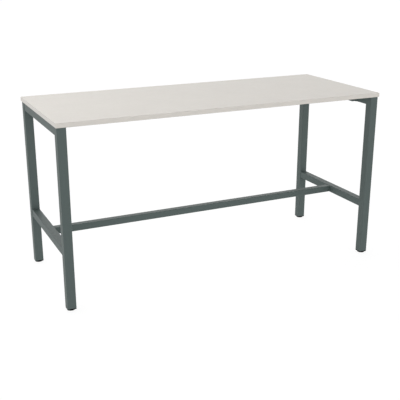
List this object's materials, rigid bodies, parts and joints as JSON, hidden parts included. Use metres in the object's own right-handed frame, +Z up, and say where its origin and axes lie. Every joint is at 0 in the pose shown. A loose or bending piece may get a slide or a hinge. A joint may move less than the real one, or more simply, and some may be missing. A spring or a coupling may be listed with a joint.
{
  "type": "standing meeting table",
  "caption": "Bar-height meeting table: flat rectangular worktop on a welded square-tube frame with a foot rest bar and screw-adjusted levelling feet.",
  "frame": {"origin": "on the floor below the middle of the worktop", "axes": "+X along the table's length to the right, +Y across its depth to the back, +Z up"},
  "size_m": [2, 0.8, 1.044],
  "materials": {
    "board": "melamine-faced particle board, matt pale warm white",
    "edge_band": "2 mm plastic edge band, matt pale warm white",
    "frame_paint": "powder coat, fine texture, dark grey-green",
    "zinc_steel": "bright zinc plate",
    "black_plastic": "moulded black polyamide"
  },
  "bodies": {
    "root": {"worktop_board": "board", "edge_band_front": "edge_band", "edge_band_rear": "edge_band", "edge_band_left": "edge_band", "edge_band_right": "edge_band", "leg_front_left": "frame_paint", "leg_rear_left": "frame_paint", "leg_front_right": "frame_paint", "leg_rear_right": "frame_paint", "top_rail_left": "frame_paint", "top_rail_right": "frame_paint", "foot_rail_left": "frame_paint", "foot_rail_right": "frame_paint", "footrest_bar": "frame_paint", "footrest_spigot_left": "frame_paint", "footrest_spigot_right": "frame_paint", "beam_front": "frame_paint", "beam_rear": "frame_paint", "beam_cradle_front_left": "frame_paint", "beam_cradle_rear_left": "frame_paint", "beam_cradle_front_right": "frame_paint", "beam_cradle_rear_right": "frame_paint", "cradle_bolts": "zinc_steel", "cradle_weld_nuts": "zinc_steel", "clamp_bolts": "zinc_steel", "clamp_weld_nuts": "zinc_steel", "footrest_screws": "zinc_steel", "rail_screws": "zinc_steel", "beam_screws": "zinc_steel", "foot_insert_front_left": "black_plastic", "foot_insert_rear_left": "black_plastic", "foot_insert_front_right": "black_plastic", "foot_insert_rear_right": "black_plastic", "foot_nut_front_left": "zinc_steel", "foot_nut_rear_left": "zinc_steel", "foot_nut_front_right": "zinc_steel", "foot_nut_rear_right": "zinc_steel"},
    "pad_front_left": {"foot_pad_front_left": "black_plastic"},
    "stem_front_left": {"foot_stem_front_left": "zinc_steel"},
    "pad_rear_left": {"foot_pad_rear_left": "black_plastic"},
    "stem_rear_left": {"foot_stem_rear_left": "zinc_steel"},
    "pad_front_right": {"foot_pad_front_right": "black_plastic"},
    "stem_front_right": {"foot_stem_front_right": "zinc_steel"},
    "pad_rear_right": {"foot_pad_rear_right": "black_plastic"},
    "stem_rear_right": {"foot_stem_rear_right": "zinc_steel"}
  },
  "joints": [
    {"name": "front_left_height", "type": "slide", "parent": "root", "child": "pad_front_left", "axis": [0, 0, -1], "range_m": [0, 0.01]},
    {"name": "front_left_screw", "type": "hinge", "parent": "pad_front_left", "child": "stem_front_left", "pos_m": [-0.97, -0.37, 0.01], "axis": [0, 0, -1], "range_deg": [0, 2880]},
    {"name": "rear_left_height", "type": "slide", "parent": "root", "child": "pad_rear_left", "axis": [0, 0, -1], "range_m": [0, 0.01]},
    {"name": "rear_left_screw", "type": "hinge", "parent": "pad_rear_left", "child": "stem_rear_left", "pos_m": [-0.97, 0.37, 0.01], "axis": [0, 0, -1], "range_deg": [0, 2880]},
    {"name": "front_right_height", "type": "slide", "parent": "root", "child": "pad_front_right", "axis": [0, 0, -1], "range_m": [0, 0.01]},
    {"name": "front_right_screw", "type": "hinge", "parent": "pad_front_right", "child": "stem_front_right", "pos_m": [0.97, -0.37, 0.01], "axis": [0, 0, -1], "range_deg": [0, 2880]},
    {"name": "rear_right_height", "type": "slide", "parent": "root", "child": "pad_rear_right", "axis": [0, 0, -1], "range_m": [0, 0.01]},
    {"name": "rear_right_screw", "type": "hinge", "parent": "pad_rear_right", "child": "stem_rear_right", "pos_m": [0.97, 0.37, 0.01], "axis": [0, 0, -1], "range_deg": [0, 2880]}
  ],
  "couplings": [
    {"joint": "front_left_screw", "follows": "front_left_height", "rad_per_m": 5026.5},
    {"joint": "rear_left_screw", "follows": "rear_left_height", "rad_per_m": 5026.5},
    {"joint": "front_right_screw", "follows": "front_right_height", "rad_per_m": 5026.5},
    {"joint": "rear_right_screw", "follows": "rear_right_height", "rad_per_m": 5026.5}
  ]
}
